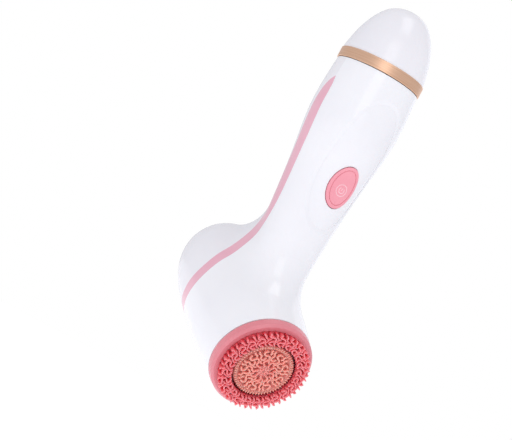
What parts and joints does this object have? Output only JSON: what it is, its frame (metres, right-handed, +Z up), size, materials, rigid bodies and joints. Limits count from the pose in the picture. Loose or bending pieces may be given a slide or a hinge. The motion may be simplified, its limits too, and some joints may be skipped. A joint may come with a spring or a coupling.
{
  "type": "facial cleansing brush",
  "caption": "Cordless facial cleansing brush: curved handle with oval push button, metal collar and end cap, and a barrel head with a counter-rotating silicone brush.",
  "frame": {"origin": "centre of the metal collar between the handle and the end cap", "axes": "+Z runs up the handle to the crown of the end cap; -Y is the side with the push button and the brush face; +X is the lateral axis"},
  "size_m": [0.0502, 0.1, 0.196],
  "materials": {
    "shell_white": "glossy white moulded ABS",
    "shell_grey_white": "glossy white moulded ABS, slightly greyer",
    "accent_pink": "glossy pink moulded ABS",
    "button_pink": "satin pink moulded plastic",
    "collar_rose_gold": "brushed rose-gold metal band",
    "brush_base_pink": "satin salmon-pink moulded plastic",
    "outer_silicone": "translucent coral-red silicone",
    "inner_silicone": "translucent peach silicone",
    "seal_rubber": "black nitrile rubber",
    "frame_plastic": "moulded ABS",
    "gear_plastic": "natural acetal",
    "steel": "ground steel",
    "zinc_steel": "zinc-plated steel",
    "sintered_bronze": "oiled sintered bronze",
    "spring_plate": "nickel-plated spring steel",
    "board_green": "glass-epoxy circuit board",
    "component_black": "moulded electronic parts",
    "cell_sleeve": "printed battery sleeve",
    "wire_red": "PVC insulated wire",
    "motor_steel": "drawn steel can",
    "bell_white": "moulded nylon"
  },
  "bodies": {
    "root": {"front_shell": "shell_white", "rear_shell": "shell_grey_white", "accent_strip_left": "accent_pink", "accent_strip_right": "accent_pink", "nose_plate": "frame_plastic", "nose_screws": "zinc_steel", "shaft_seal": "seal_rubber", "spindle_bush": "sintered_bronze", "gearbox_housing": "frame_plastic", "gearbox_mid_plate": "gear_plastic", "gearbox_screws": "zinc_steel", "motor_mount": "frame_plastic", "motor_screws": "zinc_steel", "motor_can": "motor_steel", "motor_end_bell": "bell_white", "motor_terminals": "spring_plate", "motor_leads": "wire_red", "compound_pin": "steel", "idler_pin": "steel", "battery_frame": "frame_plastic", "battery_cell_1": "cell_sleeve", "battery_cell_2": "cell_sleeve", "battery_spring": "spring_plate", "battery_contact": "spring_plate", "circuit_board": "board_green", "board_components": "component_black", "tact_switch": "component_black"},
    "outer_drive": {"outer_spindle": "gear_plastic", "outer_drive_gear": "gear_plastic", "shaft_bush_rear": "sintered_bronze", "shaft_bush_front": "sintered_bronze"},
    "inner_drive": {"inner_shaft": "steel", "inner_drive_gear": "gear_plastic"},
    "compound": {"compound_gear": "gear_plastic"},
    "idler": {"idler_gear": "gear_plastic"},
    "motor_rotor": {"motor_shaft": "steel", "motor_pinion": "gear_plastic"},
    "brush_ring": {"brush_ring_base": "brush_base_pink", "brush_ring_bristles": "outer_silicone"},
    "brush_disc": {"brush_disc_base": "inner_silicone", "brush_disc_bristles": "inner_silicone"},
    "button": {"button": "button_pink", "switch_plunger": "component_black"},
    "cap": {"end_cap": "shell_grey_white", "collar_ring": "collar_rose_gold", "cap_spigot": "frame_plastic", "cap_seal": "seal_rubber", "cap_contact": "spring_plate"}
  },
  "joints": [
    {"name": "outer_spin", "type": "hinge", "parent": "root", "child": "outer_drive", "pos_m": [0, 0, -0.1294], "axis": [0, -0.8902, -0.4555], "continuous": true},
    {"name": "inner_spin", "type": "hinge", "parent": "root", "child": "inner_drive", "pos_m": [0, 0, -0.1294], "axis": [0, -0.8902, -0.4555], "continuous": true},
    {"name": "compound_spin", "type": "hinge", "parent": "root", "child": "compound", "pos_m": [0, -0.00551, -0.11863], "axis": [0, -0.8902, -0.4555], "continuous": true},
    {"name": "idler_spin", "type": "hinge", "parent": "root", "child": "idler", "pos_m": [0.00522, -0.00367, -0.12223], "axis": [0, -0.8902, -0.4555], "continuous": true},
    {"name": "motor_spin", "type": "hinge", "parent": "root", "child": "motor_rotor", "pos_m": [0, -0.00164, -0.1262], "axis": [0, -0.8902, -0.4555], "continuous": true},
    {"name": "head_release", "type": "slide", "parent": "outer_drive", "child": "brush_ring", "axis": [0, -0.8902, -0.4555], "range_m": [0, 0.015]},
    {"name": "disc_release", "type": "slide", "parent": "inner_drive", "child": "brush_disc", "axis": [0, -0.8902, -0.4555], "range_m": [0, 0.015]},
    {"name": "button_press", "type": "slide", "parent": "root", "child": "button", "axis": [0, 1, 0], "range_m": [0, 0.0007], "stiffness_N_per_m": 2500},
    {"name": "cap_pull", "type": "slide", "parent": "root", "child": "cap", "axis": [0, 0, 1], "range_m": [0, 0.04]}
  ],
  "couplings": [
    {"joint": "inner_spin", "follows": "outer_spin", "ratio": -1.5},
    {"joint": "compound_spin", "follows": "outer_spin", "ratio": -3},
    {"joint": "idler_spin", "follows": "outer_spin", "ratio": 2.5714},
    {"joint": "motor_spin", "follows": "outer_spin", "ratio": 7.5},
    {"joint": "disc_release", "follows": "head_release", "ratio": 1}
  ]
}
